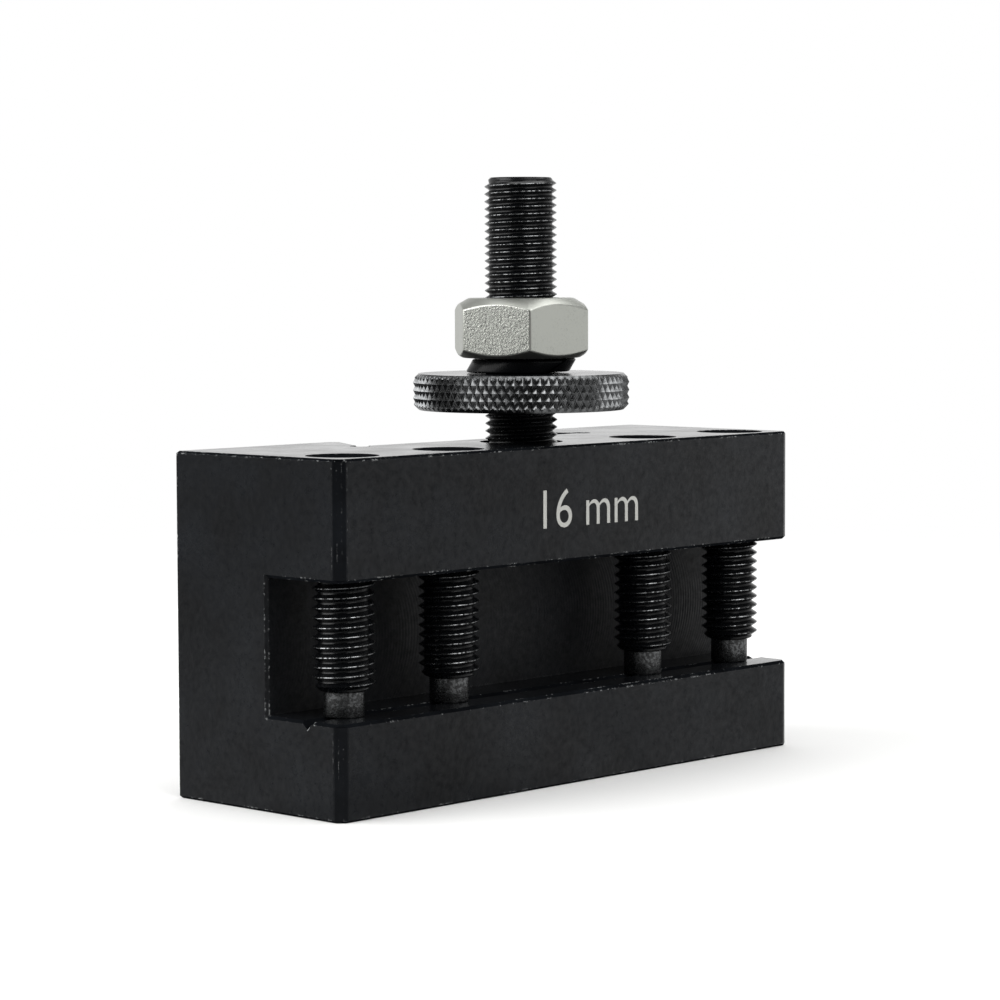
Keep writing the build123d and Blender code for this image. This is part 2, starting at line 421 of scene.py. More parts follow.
# Cold-formed steel with bright zinc plating: a pale warm grey metal. One flat keeps the
# orange peel of the forging, which glitters; the others were burnished by the die.
zincNut = {
    "plate": "#c0c2bb",
    "pit": "#484b4a",
    "pitSize": 0.24,  # mm
    "pitWhere": (0.54, 0.68),
    "cloudScale": 0.3,  # per mm
    "cloudWhere": (0.4, 0.6),
    "pitted": (0.25, 0.7),  # at most, on the burnished flats and on the rough one
    "peelSize": 0.28,  # mm
    "peelHeight": (0.002, 0.065),  # mm, on the burnished flats and on the rough one
    "roughFlat": 200.2,  # degrees round from +X
    "roughFlatWhere": (0.9, 0.95),  # cosine of the angle to it
    "roughWhere": (0.3, 0.7),
    "roughness": (0.36, 0.46),
    "glitterRoughness": 0.26,
    "edgeReach": 0.2,  # mm
    "edgeBend": (0.995, 0.95),  # cosine of the bend towards the edge
    "edgeRoughness": 0.16,
}


def zincPlated():
    look = zincNut
    material, add, spot = newMaterial("bright_zinc_plated_steel")
    pits = add(
        "ShaderNodeTexNoise",
        {"Vector": spot, "Scale": 1 / look["pitSize"], "Detail": 3.0, "Roughness": 0.65},
    )
    peel = add(
        "ShaderNodeTexNoise",
        {"Vector": spot, "Scale": 1 / look["peelSize"], "Detail": 4.0, "Roughness": 0.6},
    )
    cloud = add("ShaderNodeTexNoise", {"Vector": spot, "Scale": look["cloudScale"], "Detail": 3.0})
    turn = math.radians(look["roughFlat"])
    surface = add("ShaderNodeNewGeometry")
    trueNormal = surface.outputs["True Normal"]
    rounded = add("ShaderNodeBevel", {"Radius": look["edgeReach"] * mm}, samples=6)
    facing, bend = (
        add("ShaderNodeVectorMath", pair, operation="DOT_PRODUCT").outputs["Value"]
        for pair in (
            {0: trueNormal, 1: (math.cos(turn), math.sin(turn), 0)},
            {0: rounded, 1: trueNormal},
        )
    )
    unworked = add("ShaderNodeMapRange", {0: facing, **span(look["roughFlatWhere"])})
    pitted = add("ShaderNodeMapRange", {0: pits, **span(look["pitWhere"])})
    few, many = look["pitted"]
    fewPits = add("ShaderNodeMapRange", {0: cloud, **span(look["cloudWhere"], (0.0, few))})
    where = add("ShaderNodeMapRange", {0: unworked, 3: fewPits, 4: many})
    dark = add("ShaderNodeMath", {0: pitted, 1: where}, operation="MULTIPLY")
    colour = add(
        "ShaderNodeMix",
        {0: dark, 6: toLinear(look["plate"]), 7: toLinear(look["pit"])},
        data_type="RGBA",
    ).outputs[2]
    rough = add("ShaderNodeMapRange", {0: pits, **span(look["roughWhere"], look["roughness"])})
    rough = add("ShaderNodeMapRange", {0: unworked, 3: rough, 4: look["glitterRoughness"]})
    burnished = add("ShaderNodeMapRange", {0: bend, **span(look["edgeBend"])})
    rough = add("ShaderNodeMapRange", {0: burnished, 3: rough, 4: look["edgeRoughness"]})
    low, high = (height * mm for height in look["peelHeight"])
    tall = add("ShaderNodeMapRange", {0: unworked, 3: low, 4: high})
    addSurface(add, {"Base Color": colour, "Metallic": 1.0, "Roughness": rough}, peel, tall)
    return material


# Oxide burnt off by a laser: bare steel frosted to a matt pale grey. The scale is per mm.
laserMark = {"pale": "#b9b9b4", "dull": "#a5a5a1", "frostScale": 6.0, "roughness": 0.7}


def laserFrosted():
    look = laserMark
    material, add, spot = newMaterial("laser_frosted_steel")
    frost = add("ShaderNodeTexNoise", {"Vector": spot, "Scale": look["frostScale"], "Detail": 2.0})
    colour = add(
        "ShaderNodeMix",
        {0: frost, 6: toLinear(look["pale"]), 7: toLinear(look["dull"])},
        data_type="RGBA",
    ).outputs[2]
    shader = add("ShaderNodeBsdfPrincipled", {"Base Color": colour, "Roughness": look["roughness"]})
    add("ShaderNodeOutputMaterial", {"Surface": shader})
    return material


oxideSkin = blackOxideMilled()
oxideSteel = {kind: blackOxideFastener(kind) for kind in fastenerFinishes}
zincPlate = zincPlated()
frosted = laserFrosted()
print("materials made")


# Threads. One pitch is eight rows of the grid: where each lies along the pitch, and how
# far it stands from root (0) to crest (1). There are as many columns as segments.
threadShape = {
    "phases": (0.0, 0.105, 0.21, 0.545, 0.575, 0.605, 0.635, 0.665),
    "heights": (0.05, 0.0, 0.05, 0.94, 0.985, 1.0, 0.985, 0.94),
    "segments": 72,
    "weld": 0.002 * mm,
}


# A flat grid, with how far across and how far up it each point lies, from 0 to 1
def addGrid(add, columns, rows):
    grid = add(
        "GeometryNodeMeshGrid",
        {"Size X": 1.0, "Size Y": 1.0, "Vertices X": columns, "Vertices Y": rows},
    )
    place = add("ShaderNodeSeparateXYZ", {0: add("GeometryNodeInputPosition")})
    across, up = (
        add("ShaderNodeMath", {0: part, 1: 0.5}, operation="ADD")
        for part in place.outputs[:2]
    )
    return grid, across, up


# Winds a flat grid round the axis: each point's share of a turn, its radius and its height,
# with its crest value kept for the shader
def wind(add, given, grid, around, radius, z, crest):
    angle = add("ShaderNodeMath", {0: around, 1: fullTurn}, operation="MULTIPLY")
    x, y = (
        add(
            "ShaderNodeMath",
            {0: radius, 1: add("ShaderNodeMath", {0: angle}, operation=part)},
            operation="MULTIPLY",
        )
        for part in ("COSINE", "SINE")
    )
    point = add("ShaderNodeCombineXYZ", {0: x, 1: y, 2: z})
    point = add("ShaderNodeVectorMath", {0: point, 1: given["Axis"]}, operation="ADD")
    marked = add(
        "GeometryNodeStoreNamedAttribute",
        {"Geometry": grid, "Name": "crest", "Value": crest},
        data_type="FLOAT",
    )
    return add("GeometryNodeSetPosition", {"Geometry": marked, "Position": point})


# Joins a wound wall to the turned shells that come in, and welds the seams
def finishTree(tree, add, given, wall):
    both = add("GeometryNodeJoinGeometry", {0: given["Geometry"]})
    tree.links.new(wall.outputs[0], both.inputs[0])
    welded = add("GeometryNodeMergeByDistance", {"Geometry": both, "Distance": threadShape["weld"]})
    real = add("GeometryNodeRealizeInstances", {"Geometry": welded})
    painted = add("GeometryNodeSetMaterial", {"Geometry": real, "Material": given["Material"]})
    add("NodeGroupOutput", {0: painted})


# A helical thread between two heights, joined to the turned shells that come in. It is cut
# off at 45 degrees towards both ends. Its phase follows from the height alone, so threads
# on one axis mesh. Inside threads are cut off the other way and face the axis.
def threadTree():
    sockets = {
        "Axis": "Vector",
        "Turned": "Float",
        "Bottom": "Float",
        "Top": "Float",
        "Crest Radius": "Float",
        "Root Radius": "Float",
        "Pitch": "Float",
        "Bottom End Radius": "Float",
        "Top End Radius": "Float",
        "Segments": "Int",
        "Inside": "Bool",
        "Material": "Material",
    }
    tree, add, given = newTree("screw thread", sockets)
    rowsPerTurn = len(threadShape["phases"])
    shift = add("ShaderNodeMath", {0: given["Turned"], 1: fullTurn}, operation="DIVIDE")
    lowest = add("ShaderNodeMath", {0: given["Bottom"], 1: given["Pitch"]}, operation="DIVIDE")
    lowest = add("ShaderNodeMath", {0: lowest, 1: shift}, operation="SUBTRACT")
    lowest = add("ShaderNodeMath", {0: lowest}, operation="FLOOR")
    start = add("ShaderNodeMath", {0: lowest, 1: 1.0}, operation="SUBTRACT")
    highest = add("ShaderNodeMath", {0: given["Top"], 1: given["Pitch"]}, operation="DIVIDE")
    highest = add("ShaderNodeMath", {0: highest}, operation="CEIL")
    turns = add("ShaderNodeMath", {0: highest, 1: start}, operation="SUBTRACT")
    rows = add(
        "ShaderNodeMath", {0: turns, 1: rowsPerTurn, 2: rowsPerTurn}, operation="MULTIPLY_ADD"
    )
    rowPoints = add("ShaderNodeMath", {0: rows, 1: 1.0}, operation="ADD")
    columns = add("ShaderNodeMath", {0: given["Segments"], 1: 1.0}, operation="ADD")
    grid, around, upGrid = addGrid(add, columns, rowPoints)
    around = add("ShaderNodeMath", {0: around, 1: shift}, operation="ADD")
    row = add("ShaderNodeMath", {0: upGrid, 1: rows}, operation="MULTIPLY")
    row = add("ShaderNodeMath", {0: row}, operation="ROUND")
    turn = add("ShaderNodeMath", {0: row, 1: 0.5}, operation="ADD")
    turn = add("ShaderNodeMath", {0: turn, 1: rowsPerTurn}, operation="DIVIDE")
    turn = add("ShaderNodeMath", {0: turn}, operation="FLOOR")
    inTurn = add("ShaderNodeMath", {0: turn, 1: -rowsPerTurn, 2: row}, operation="MULTIPLY_ADD")
    inTurn = add("FunctionNodeFloatToInt", {0: inTurn}, rounding_mode="ROUND")
    profile = {}
    for part in ("phases", "heights"):
        switch = add("GeometryNodeIndexSwitch", data_type="FLOAT")
        while len(switch.index_switch_items) < rowsPerTurn:
            switch.index_switch_items.new()
        for index, value in enumerate(threadShape[part]):
            switch.inputs[index + 1].default_value = value
        tree.links.new(inTurn.outputs[0], switch.inputs[0])
        profile[part] = switch
    level = add("ShaderNodeMath", {0: start, 1: turn}, operation="ADD")
    level = add("ShaderNodeMath", {0: level, 1: profile["phases"]}, operation="ADD")
    level = add("ShaderNodeMath", {0: level, 1: around}, operation="ADD")
    level = add("ShaderNodeMath", {0: level, 1: given["Pitch"]}, operation="MULTIPLY")
    z = add("ShaderNodeClamp", {0: level, 1: given["Bottom"], 2: given["Top"]})

    # The cut-off is a smallest radius for outside threads; a sign turns it round for inside ones
    side = add("ShaderNodeMath", {0: given["Inside"], 1: -2.0, 2: 1.0}, operation="MULTIPLY_ADD")
    full = add(
        "ShaderNodeMapRange",
        {0: profile["heights"], 3: given["Root Radius"], 4: given["Crest Radius"]},
    )
    limit = add("ShaderNodeMath", {0: full, 1: side}, operation="MULTIPLY")
    aboveBottom = add("ShaderNodeMath", {0: z, 1: given["Bottom"]}, operation="SUBTRACT")
    belowTop = add("ShaderNodeMath", {0: given["Top"], 1: z}, operation="SUBTRACT")
    for end, away in (("Bottom End Radius", aboveBottom), ("Top End Radius", belowTop)):
        cone = add("ShaderNodeMath", {0: given[end], 1: side, 2: away}, operation="MULTIPLY_ADD")
        limit = add("ShaderNodeMath", {0: limit, 1: cone}, operation="MINIMUM")
    radius = add("ShaderNodeMath", {0: limit, 1: side}, operation="MULTIPLY")
    crest = add(
        "ShaderNodeMapRange", {0: radius, 1: given["Root Radius"], 2: given["Crest Radius"]}
    )
    outside = add("ShaderNodeMath", {0: 1.0, 1: given["Inside"]}, operation="SUBTRACT")
    crest = add("ShaderNodeMath", {0: crest, 1: outside}, operation="MULTIPLY")
    wound = wind(add, given, grid, around, radius, z, crest)
    flipped = add("GeometryNodeFlipFaces", {"Mesh": wound})
    thread = add(
        "GeometryNodeSwitch", {0: given["Inside"], 1: wound, 2: flipped}, input_type="GEOMETRY"
    )
    finishTree(tree, add, given, thread)
    return tree


# A diamond knurl round a rim: two families of V grooves that lean to both sides, cut off at
# 45 degrees towards both ends. Its grid follows the diamonds, so each ridge is a row of edges.
def knurlTree():
    sockets = {
        "Axis": "Vector",
        "Bottom": "Float",
        "Top": "Float",
        "Radius": "Float",
        "Depth": "Float",
        "End Radius": "Float",
        "Count": "Int",
        "Steps": "Int",
        "Rows": "Int",
        "Material": "Material",
    }
    tree, add, given = newTree("diamond knurl", sockets)
    across = add(
        "ShaderNodeMath", {0: given["Count"], 1: given["Steps"], 2: 1.0}, operation="MULTIPLY_ADD"
    )
    upward = add("ShaderNodeMath", {0: given["Rows"], 1: 1.0}, operation="ADD")
    grid, around, upGrid = addGrid(add, across, upward)
    z = add("ShaderNodeMapRange", {0: upGrid, 3: given["Bottom"], 4: given["Top"]})
    teeth = add("ShaderNodeMath", {0: around, 1: given["Count"]}, operation="MULTIPLY")
    periods = add("ShaderNodeMath", {0: given["Rows"], 1: given["Steps"]}, operation="DIVIDE")
    # It starts halfway between two rows of diamonds
    rise = add("ShaderNodeMath", {0: upGrid, 1: periods, 2: 0.25}, operation="MULTIPLY_ADD")
    waves = []
    for way in ("ADD", "SUBTRACT"):
        lean = add("ShaderNodeMath", {0: teeth, 1: rise}, operation=way)
        wave = add("ShaderNodeMath", {0: lean, 1: 0.5}, operation="PINGPONG")
        waves.append(add("ShaderNodeMath", {0: wave, 1: 2.0}, operation="MULTIPLY"))
    height = add("ShaderNodeMath", {0: waves[0], 1: waves[1]}, operation="MINIMUM")
    root = add("ShaderNodeMath", {0: given["Radius"], 1: given["Depth"]}, operation="SUBTRACT")
    limit = add("ShaderNodeMath", {0: height, 1: given["Depth"], 2: root}, operation="MULTIPLY_ADD")
    aboveBottom = add("ShaderNodeMath", {0: z, 1: given["Bottom"]}, operation="SUBTRACT")
    belowTop = add("ShaderNodeMath", {0: given["Top"], 1: z}, operation="SUBTRACT")
    for away in (aboveBottom, belowTop):
        cone = add("ShaderNodeMath", {0: given["End Radius"], 1: away}, operation="ADD")
        limit = add("ShaderNodeMath", {0: limit, 1: cone}, operation="MINIMUM")
    finishTree(tree, add, given, wind(add, given, grid, around, limit, z, height))
    return tree


screwThread = threadTree()
diamondKnurl = knurlTree()


def threadValues(axis, bottom, top, crest, root, pitch, bottomEnd, topEnd, material):
    return {
        "Axis": axis,
        "Bottom": bottom,
        "Top": top,
        "Crest Radius": crest * mm,
        "Root Radius": root * mm,
        "Pitch": pitch * mm,
        "Bottom End Radius": bottomEnd * mm,
        "Top End Radius": topEnd * mm,
        "Segments": threadShape["segments"],
        "Material": material,
    }


# Block: the CAD node itself, in its oxide skin

blockLow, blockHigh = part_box("holder_body")
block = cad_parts["holder_body"]
block.data.materials.clear()
block.data.materials.append(oxideSkin)
print("block dressed")


# Clamp screws: set screws with a dog point and a hexagon socket

clampScrew = {
    "pitch": 1.25,
    "crest": 4.0,
    "root": 3.24,
    "dogRadius": 2.6,
    "dogLength": 3.2,
    "dogBreak": 0.2,
    "breakShare": 0.3,  # how far down its corner the rounded edge's middle row lies
    "shoulderRadius": 3.2,
    "shoulderRise": 0.25,
    "topRadius": 3.15,
    "socketFlats": 4.0,
    "socketMouth": 2.5,
    "socketSlope": 30,  # degrees
    "socketDepth": 5.0,
    "drillPoint": 0.9,
}


# The reach of a hexagon at each angle
def hexagon(flats, turned=0.0):
    return lambda angle: flats / 2 / math.cos((angle - turned) % sixth - sixth / 2)


def makeClampScrew(node):
    size = clampScrew
    axis = axisOf(node)
    low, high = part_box(node)
    bottom, top = low.z, high.z
    count = threadShape["segments"]
    dog = size["dogRadius"] * mm
    dogTop = bottom + size["dogLength"] * mm
    shoulder = dogTop + size["shoulderRise"] * mm
    edge = size["dogBreak"] * mm
    middle = size["breakShare"] * edge
    mouth = size["socketMouth"] * mm
    socket = hexagon(size["socketFlats"] * mm)
    slope = math.tan(math.radians(size["socketSlope"]))
    floor = top - size["socketDepth"] * mm
    piece = stackRings(
        "clampScrew" + node[-1],
        [
            [(axis.x, axis.y, bottom)],
            ring(axis, count, dog - edge, bottom),
            ring(axis, count, dog - middle, bottom + middle),
            ring(axis, count, dog, bottom + edge),
            ring(axis, count, dog, dogTop),
            ring(axis, count, size["shoulderRadius"] * mm, shoulder),
        ],
        [
            ring(axis, count, size["topRadius"] * mm, top),
            ring(axis, count, mouth, top),
            ring(axis, count, socket, lambda angle: top - (mouth - socket(angle)) * slope),
            ring(axis, count, socket, floor),
            [(axis.x, axis.y, floor - size["drillPoint"] * mm)],
        ],
    )
    values = threadValues(
        axis, shoulder, top, size["crest"], size["root"], size["pitch"], size["shoulderRadius"],
        size["topRadius"], oxideSteel["rolled"],
    )
    addTree(piece, screwThread, values)
    makePlain(piece)
    paint(piece, oxideSteel["turned"], lambda face: face.center.z < dogTop)
    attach(piece, node)
    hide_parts(node)


for screwNumber in range(1, 5):
    makeClampScrew(f"clamp_screw_{screwNumber}")
print("clamp screws made")


# Threads tapped in the block: a thin sleeve in each of the CAD's plain holes, from just above
# the tool slot's ceiling to the foot of the hole's mouth

tapping = {"clearance": 0.03, "wall": 4.045, "mouth": 0.65, "ceiling": 30.0, "gap": 0.01}


def makeTapping(node):
    axis = axisOf(node)
    bottom = tapping["ceiling"] * mm + tapping["gap"] * mm
    top = blockHigh.z - tapping["mouth"] * mm
    wall = tapping["wall"]
    count = threadShape["segments"]
    piece = stackRings(
        "tapping" + node[-1],
        [ring(axis, count, wall * mm, bottom), ring(axis, count, wall * mm, top)],
    )
    values = threadValues(
        axis, bottom, top, clampScrew["crest"] + tapping["clearance"],
        clampScrew["root"] + tapping["clearance"], clampScrew["pitch"], wall, wall,
        oxideSteel["tapped"],
    )
    addTree(piece, screwThread, {**values, "Inside": True})
    makePlain(piece)
    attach(piece, "holder")


for screwNumber in range(1, 5):
    makeTapping(f"clamp_screw_{screwNumber}")
print("tapped holes made")


# Height stud: fully threaded, fine pitch

stud = {"pitch": 1.0, "crest": 4.9, "root": 4.29, "endRadius": 4.1}
studAxis = axisOf("height_stud")
studLow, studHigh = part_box("height_stud")
studEnd = stud["endRadius"] * mm
studCount = threadShape["segments"]
heightStud = stackRings(
    "heightStud",
    [[(studAxis.x, studAxis.y, studLow.z)], ring(studAxis, studCount, studEnd, studLow.z)],
    [ring(studAxis, studCount, studEnd, studHigh.z), [(studAxis.x, studAxis.y, studHigh.z)]],
)
addTree(
    heightStud,
    screwThread,
    threadValues(
        studAxis, studLow.z, studHigh.z, stud["crest"], stud["root"], stud["pitch"],
        stud["endRadius"], stud["endRadius"], oxideSteel["rolled"],
    ),
)
makePlain(heightStud)
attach(heightStud, "holder")
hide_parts("height_stud")
print("height stud made")


# The thread inside a nut on the stud
def nutThread(size, low, high, material):
    crest, root = (stud[part] + size["clearance"] for part in ("crest", "root"))
    mouth = size["mouth"]
    values = threadValues(studAxis, low.z, high.z, crest, root, stud["pitch"], mouth, mouth, material)
    return {**values, "Inside": True}


# Knurled nut

knurledNut = {
    "radius": 14.68,
    "depth": 0.5,
    "chamfer": 0.75,
    "count": 78,
    "steps": 12,
    "rows": 28,
    "mouth": 5.4,
    "clearance": 0.03,
    "sharpAngle": 20,  # degrees
}


def makeKnurledNut():
    size = knurledNut
    low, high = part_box("knurled_nut")
    rimCount = size["count"] * size["steps"]
    faceRadius = (size["radius"] - size["chamfer"]) * mm
    mouth = size["mouth"] * mm
    piece = stackRings(
        "knurledNut",
        [ring(studAxis, studCount, mouth, low.z), ring(studAxis, rimCount, faceRadius, low.z)],
        [ring(studAxis, rimCount, faceRadius, high.z), ring(studAxis, studCount, mouth, high.z)],
    )
    addTree(
        piece,
        diamondKnurl,
        {
            "Axis": studAxis,
            "Bottom": low.z,
            "Top": high.z,
            "Radius": size["radius"] * mm,
            "Depth": size["depth"] * mm,
            "End Radius": faceRadius,
            "Count": size["count"],
            "Steps": size["steps"],
            "Rows": size["rows"],
            "Material": oxideSteel["knurled"],
        },
    )
    addTree(piece, screwThread, nutThread(size, low, high, oxideSteel["knurled"]))
    makePlain(piece, size["sharpAngle"])
    paint(piece, oxideSkin, lambda face: abs(face.normal.z) > 1 - nearly)
    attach(piece, "height_nut")
    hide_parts("knurled_nut")


makeKnurledNut()
print("knurled nut made")


# Spring washer: one left-hand turn of square wire with slanted ends

springWasher = {
    "outerRadius": 7.05,
    "boreRadius": 5.1,
    "thickness": 1.78,
    "rise": 0.2,
    "gap": 0.8,
    "slant": 52,  # degrees
    "split": 266,  # degrees round from +X
    "corner": 0.3,
    "cornerSteps": 4,
    "steps": 180,
    "lean": 0.5,  # how far the outer wall's top leans to the photo's right
    "leanTurn": -47,  # degrees
    "sharpAngle": 35,  # degrees
}


# A rectangle with rounded corners, anticlockwise
def roundedSection(width, height, corner, steps):
    points = []
    for quarter, (side, level) in enumerate(((1, -1), (1, 1), (-1, 1), (-1, -1))):
        for step in range(steps + 1):
            angle = math.radians(90 * (quarter - 1) + 90 * step / steps)
            points.append(
                (
                    side * (width / 2 - corner) + corner * math.cos(angle),
                    level * (height / 2 - corner) + corner * math.sin(angle),
                )
            )
    return points


def makeSpringWasher():
    size = springWasher
    low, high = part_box("lock_washer")
    middle = (size["outerRadius"] + size["boreRadius"]) / 2
    width = size["outerRadius"] - size["boreRadius"]
    section = roundedSection(width, size["thickness"], size["corner"], size["cornerSteps"])
    gapTurn = size["gap"] / middle
    sweep = fullTurn - gapTurn
    start = math.radians(size["split"]) - gapTurn / 2
    leanTurn = math.radians(size["leanTurn"])
    leanWay = Vector((math.cos(leanTurn), math.sin(leanTurn), 0))
    slope = math.tan(math.radians(size["slant"]))
    base = (low.z + high.z) / 2 - size["rise"] / 2 * mm
    points, faces = [], []
    for step in range(size["steps"] + 1):
        share = step / size["steps"]
        for outward, up in section:
            radius = middle + outward
            angle = start - share * sweep + up * slope / radius
            wall = max(0, outward) / (width / 2)
            shift = leanWay * (size["lean"] * wall * up / (size["thickness"] / 2))
            points.append(
                (
                    studAxis.x + (radius * math.cos(angle) + shift.x) * mm,
                    studAxis.y + (radius * math.sin(angle) + shift.y) * mm,
                    base + (up + share * size["rise"]) * mm,
                )
            )
    count = len(section)
    for step in range(size["steps"]):
        for corner in range(count):
            a = step * count + corner
            b = step * count + (corner + 1) % count
            faces.append((a, b, b + count, a + count))
    faces.append(tuple(range(count))[::-1])
    faces.append(tuple(size["steps"] * count + i for i in range(count)))
    mesh = bpy.data.meshes.new("springWasher")
    mesh.from_pydata(points, [], faces)
    mesh.materials.append(oxideSteel["spring"])
    piece = newPiece("springWasher", mesh)
    makePlain(piece, size["sharpAngle"])
    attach(piece, "height_nut")
    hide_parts("lock_washer")


makeSpringWasher()
print("spring washer made")


# Lock nut: a hexagon with both ends turned to a cone, its edges softened by the forging

lockNut = {
    "flats": 17.0,
    "faceRadius": 7.9,
    "crownRadius": 7.1,
    "coneAngle": 30,  # degrees
    "edge": 0.2,
    "edgeSteps": 3,
    "edgeAngle": 24,  # degrees
    "mouth": 5.4,
    "clearance": 0.03,
}


def makeLockNut():
    size = lockNut
    low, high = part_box("lock_nut")
    corners = [v.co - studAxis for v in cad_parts["lock_nut"].data.vertices]
    farthest = max(corners, key=lambda c: c.xy.length)
    turned = math.atan2(farthest.y, farthest.x) % sixth
    side = hexagon(size["flats"] * mm, turned)
    face = size["faceRadius"] * mm
    crown = size["crownRadius"] * mm
    mouth = size["mouth"] * mm
    slope = math.tan(math.radians(size["coneAngle"]))
    rimCount = 2 * studCount
    piece = stackRings(
        "lockNut",
        [
            ring(studAxis, studCount, mouth, low.z, turned),
            ring(studAxis, rimCount, face, low.z, turned),
            ring(studAxis, rimCount, side, lambda a: low.z + (side(a) - face) * slope, turned),
            ring(studAxis, rimCount, side, lambda a: high.z - (side(a) - crown) * slope, turned),
            ring(studAxis, rimCount, crown, high.z, turned),
            ring(studAxis, studCount, mouth, high.z, turned),
        ],
    )
    bevel = piece.modifiers.new("soft edges", "BEVEL")
    bevel.width = size["edge"] * mm
    bevel.segments = size["edgeSteps"]
    bevel.limit_method = "ANGLE"
    bevel.angle_limit = math.radians(size["edgeAngle"])
    values = nutThread(size, low, high, zincPlate)
    addTree(piece, screwThread, {**values, "Turned": turned})
    makePlain(piece)

    # The flats stay flat shaded, so that they don't take up the rounding beside them
    for face in piece.data.polygons:
        turn = math.atan2(face.normal.y, face.normal.x) - turned
        if abs(face.normal.z) < nearly and abs(turn % sixth - sixth / 2) < nearly:
            face.use_smooth = False
    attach(piece, "lock_nut")
    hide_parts("lock_nut")


makeLockNut()
print("lock nut made")


# Size mark on the front: the largest shank that the slot takes

sizeMark = {
    "words": "16 mm",
    "height": 7.5,
    "thinner": 0.04,
    "centreX": 1.4,
    "baseline": 34.6,
    "proud": 0.02,
}


def makeSizeMark():
    size = sizeMark
    letters = bpy.data.curves.new("letters", "FONT")
    letters.body = size["words"]
    letters.size = size["height"] * mm
    letters.align_x = "CENTER"
    letters.offset = -size["thinner"] * mm
    letters.extrude = size["proud"] * mm
    carrier = newPiece("lettering", letters)
    depsgraph = bpy.context.evaluated_depsgraph_get()
    mesh = bpy.data.meshes.new_from_object(carrier.evaluated_get(depsgraph))
    bpy.data.objects.remove(carrier)
    place = Matrix.Translation((size["centreX"] * mm, blockLow.y, size["baseline"] * mm))
    mesh.transform(place @ Matrix.Rotation(math.radians(90), 4, "X"))
    mesh.materials.clear()
    mesh.materials.append(frosted)
    piece = newPiece("sizeMark", mesh)
    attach(piece, "holder")


makeSizeMark()
print("size mark made")


# Studio: pale floor, white surroundings, three soft boxes

camera = {
    "place": (-0.317528, -0.298556, 0.068963),  # metres
    "yaw": -46.782,  # degrees, as are the next two
    "pitch": 4.154,
    "roll": -0.197,
    "lens": 114.78,
    "sensor": 36,
    "nearest": 0.01,  # metres
}


def aimed(yaw, pitch, roll=0.0):
    a, e, r = (math.radians(v) for v in (yaw, pitch, roll))
    ahead = Vector((-math.sin(a) * math.cos(e), math.cos(a) * math.cos(e), -math.sin(e)))
    right = Vector((math.cos(a), math.sin(a), 0))
    up = right.cross(ahead)
    across = right * math.cos(r) + up * math.sin(r)
    upright = up * math.cos(r) - right * math.sin(r)
    return Matrix((across, upright, -ahead)).transposed().to_4x4()


def makeCamera():
    data = bpy.data.cameras.new("photoCamera")
    data.lens = camera["lens"]
    data.sensor_width = camera["sensor"]
    data.clip_start = camera["nearest"]
    eye = bpy.data.objects.new("photoCamera", data)
    eye.matrix_world = Matrix.Translation(camera["place"]) @ aimed(
        camera["yaw"], camera["pitch"], camera["roll"]
    )
    bpy.context.scene.collection.objects.link(eye)
    bpy.context.scene.camera = eye


# Each box: the direction it stands in, in degrees round from the camera's side (right is
# positive), its height angle, distance and size in metres, and power in watts. All face the
# middle of the object.
boxTarget = Vector((0, 0, 0.035))
softBoxes = {
    "leftBox": {"round": -76, "up": 34, "away": 0.9, "size": (0.9, 0.7), "power": 6.5},
    "rightBox": {"round": 40, "up": 44, "away": 0.9, "size": (0.6, 0.6), "power": 3.2},
    "topBox": {"round": 150, "up": 72, "away": 1.0, "size": (0.9, 0.9), "power": 5.2},
}


def makeSoftBoxes():
    for name, box in softBoxes.items():
        turn = math.radians(-camera["yaw"] + 180 - box["round"])
        data = bpy.data.lights.new(name, "AREA")
        data.shape = "RECTANGLE"
        data.size, data.size_y = box["size"]
        data.energy = box["power"]
        lamp = bpy.data.objects.new(name, data)
        up = math.radians(box["up"])
        way = Vector((math.sin(turn) * math.cos(up), math.cos(turn) * math.cos(up), math.sin(up)))
        lamp.location = boxTarget + way * box["away"]
        lamp.rotation_euler = (-way).to_track_quat("-Z", "Y").to_euler()
        bpy.context.scene.collection.objects.link(lamp)


# What glossy rays see: how bright the room is at each angle round from the camera's side, in
# degrees, with the right positive. A bright panel stands at each side of a dark camera, and
# white paper behind the object. Other rays find the room evenly lit, and the camera finds it
# white.
surround = {
    "mirrored": (
        (-180, 1.2), (-169, 1.2), (-160, 0.72), (-124, 0.8), (-106, 0.95), (-94, 0.44), (-86, 0.3),
        (-80, 0.75), (-48, 0.8), (-40, 0.3), (0, 0.06), (24, 0.08), (32, 0.6), (46, 0.6),
        (52, 0.14), (58, 0.9), (82, 0.9), (88, 0.42), (97, 0.95), (116, 0.85), (160, 0.85),
        (169, 1.2), (180, 1.2),
    ),
    "brightest": 1.2,
    "overhead": 0.3,  # how much of it is left high above the horizon
    "fade": (0.2, 0.45),  # the heights, as the ray's upward part, between which it fades to that
    "ambient": 0.5,
    "nearFloorReflection": (0.6, 0.7),  # the brightness of the paper's painted reflection beside the object, dimmed there as painted shade, and its share
}


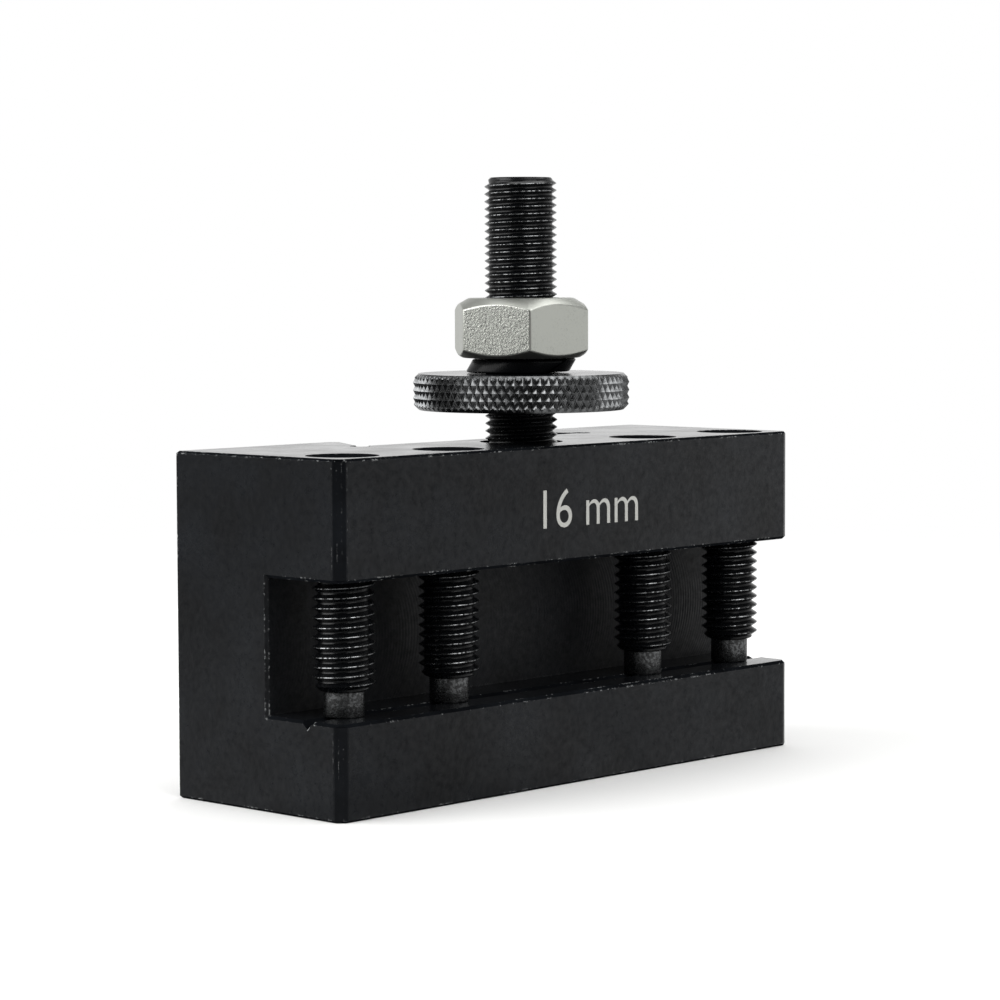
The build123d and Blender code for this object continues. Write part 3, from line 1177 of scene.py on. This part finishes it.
# The brightness that a glossy ray going this way finds
def addMirrored(add, way):
    turn = math.radians(camera["yaw"])
    toCamera = (math.sin(turn), -math.cos(turn), 0)
    toRight = (math.cos(turn), math.sin(turn), 0)
    near = add("ShaderNodeVectorMath", {0: way, 1: toCamera}, operation="DOT_PRODUCT")
    aside = add("ShaderNodeVectorMath", {0: way, 1: toRight}, operation="DOT_PRODUCT")
    angle = add(
        "ShaderNodeMath", {0: aside.outputs["Value"], 1: near.outputs["Value"]}, operation="ARCTAN2"
    )
    share = add("ShaderNodeMapRange", {0: angle, 1: -math.pi, 2: math.pi})
    ramp = add("ShaderNodeValToRGB", {"Fac": share})
    stops = ramp.color_ramp.elements
    while len(stops) < len(surround["mirrored"]):
        stops.new(0.5)
    for stop, (degrees, brightness) in zip(stops, surround["mirrored"]):
        stop.position = (degrees + 180) / 360
        stop.color = (*[brightness / surround["brightest"]] * 3, 1)
    return add("ShaderNodeMath", {0: ramp, 1: surround["brightest"]}, operation="MULTIPLY")


# Light path of the ray: whether it comes from the camera, and whether it is a glossy one
def addPath(add):
    path = add("ShaderNodeLightPath").outputs
    glossy = add(
        "ShaderNodeMath",
        {0: path["Is Glossy Ray"], 1: path["Is Transmission Ray"]},
        operation="MAXIMUM",
    )
    return path["Is Camera Ray"], glossy


def makeWorld():
    world = bpy.data.worlds.new("studio")
    bpy.context.scene.world = world
    world.use_nodes = True
    world.node_tree.nodes.clear()
    add = partial(addNode, world.node_tree)
    way = add("ShaderNodeTexCoord").outputs["Generated"]
    fromCamera, glossy = addPath(add)
    height = add("ShaderNodeSeparateXYZ", {0: way}).outputs["Z"]
    above = add(
        "ShaderNodeMapRange", {0: height, **span(surround["fade"], (1.0, surround["overhead"]))}
    )
    mirrored = add("ShaderNodeMath", {0: addMirrored(add, way), 1: above}, operation="MULTIPLY")
    unseen = add("ShaderNodeMapRange", {0: glossy, 3: surround["ambient"], 4: mirrored})
    level = add("ShaderNodeMapRange", {0: fromCamera, 3: unseen, 4: 1.0})
    light = add("ShaderNodeBackground", {"Color": (1, 1, 1, 1), "Strength": level})
    add("ShaderNodeOutputWorld", {"Surface": light})


# Seamless paper: it takes the shadow near the object, and is plain white farther out. Glossy rays see
# a painted reflection instead: a glow as bright as the room is in the paper's own direction from the
# object, dimmed beside the object as painted shade.
paperFloor = {
    "half": 6.0,  # metres
    "drop": 0.01,  # mm below the object
    "colour": "#f4f4f3",
    "fade": (90.0, 420.0),  # mm from the object's middle
}


def makeFloor():
    half = paperFloor["half"]
    z = -paperFloor["drop"] * mm
    corners = [(-half, -half, z), (half, -half, z), (half, half, z), (-half, half, z)]
    mesh = bpy.data.meshes.new("floor")
    mesh.from_pydata(corners, [], [(0, 1, 2, 3)])
    material, add, spot = newMaterial("white_seamless_paper")
    away = add("ShaderNodeVectorMath", {0: spot}, operation="LENGTH").outputs["Value"]
    far = add(
        "ShaderNodeMapRange", {0: away, **span(paperFloor["fade"])}, interpolation_type="SMOOTHSTEP"
    )
    paper = add("ShaderNodeBsdfDiffuse", {"Color": toLinear(paperFloor["colour"])})
    white = add("ShaderNodeEmission", {"Color": (1, 1, 1, 1), "Strength": 1.0})
    seen = add("ShaderNodeMixShader", {0: far, 1: paper, 2: white})
    # Painted reflection: glossy rays get a glow, not the lit paper, and it is darker beside the
    # object as painted shade
    _, glossy = addPath(add)
    mirrored = addMirrored(add, spot)
    nearLevel, nearShare = surround["nearFloorReflection"]
    near = add("ShaderNodeMapRange", {0: far, 3: nearShare, 4: 0.0})
    paintedReflectionLevel = add("ShaderNodeMapRange", {0: near, 3: mirrored, 4: nearLevel})
    paintedReflection = add("ShaderNodeEmission", {"Color": (1, 1, 1, 1), "Strength": paintedReflectionLevel})
    shader = add("ShaderNodeMixShader", {0: glossy, 1: seen, 2: paintedReflection})
    add("ShaderNodeOutputMaterial", {"Surface": shader})
    mesh.materials.append(material)
    floor = newPiece("floor", mesh)


makeCamera()
makeSoftBoxes()
makeWorld()
makeFloor()
bpy.context.scene.view_settings.view_transform = "Standard"
print("studio made")
